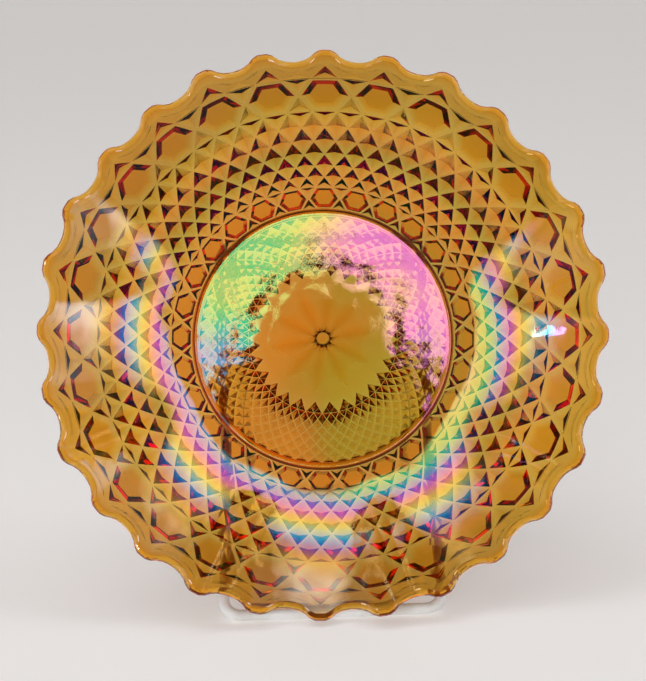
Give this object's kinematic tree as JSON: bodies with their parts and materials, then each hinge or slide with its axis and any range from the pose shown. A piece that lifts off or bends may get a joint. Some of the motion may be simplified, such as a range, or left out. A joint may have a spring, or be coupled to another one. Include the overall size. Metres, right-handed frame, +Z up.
{
  "type": "ruffled pressed glass bowl on wire stand",
  "caption": "Ruffled amber pressed-glass bowl with scalloped rim and iridescent inside, leaning on a folding coated-wire display stand.",
  "frame": {"origin": "middle of the bottom of the whole model's box, on the table the stand rests on", "axes": "+X to the right seen from the front, +Y to the back, +Z up; the bowl opens towards -Y and up"},
  "size_m": [0.2298, 0.1508, 0.2202],
  "materials": {
    "amber_glass": "clear amber pressed glass with a thin metallic lustre film on the inside",
    "white_coating": "smooth satin dipped vinyl",
    "steel_wire": "drawn wire",
    "sleeve_paint": "satin white paint on a short steel tube"
  },
  "bodies": {
    "stand": {"frame_coating": "white_coating", "frame_core": "steel_wire", "hinge_wire_core": "steel_wire"},
    "strut": {"hinge_sleeves": "sleeve_paint", "strut_coating": "white_coating", "strut_core": "steel_wire"},
    "bowl": {"glass_bowl": "amber_glass"}
  },
  "joints": [
    {"name": "strut_fold", "type": "hinge", "parent": "stand", "child": "strut", "pos_m": [0, 0.02875, 0.12426], "axis": [1, 0, 0], "range_deg": [-38, 0]},
    {"name": "lift_off", "type": "slide", "parent": "stand", "child": "bowl", "axis": [0, 0, 1], "range_m": [0, 0.15]}
  ]
}
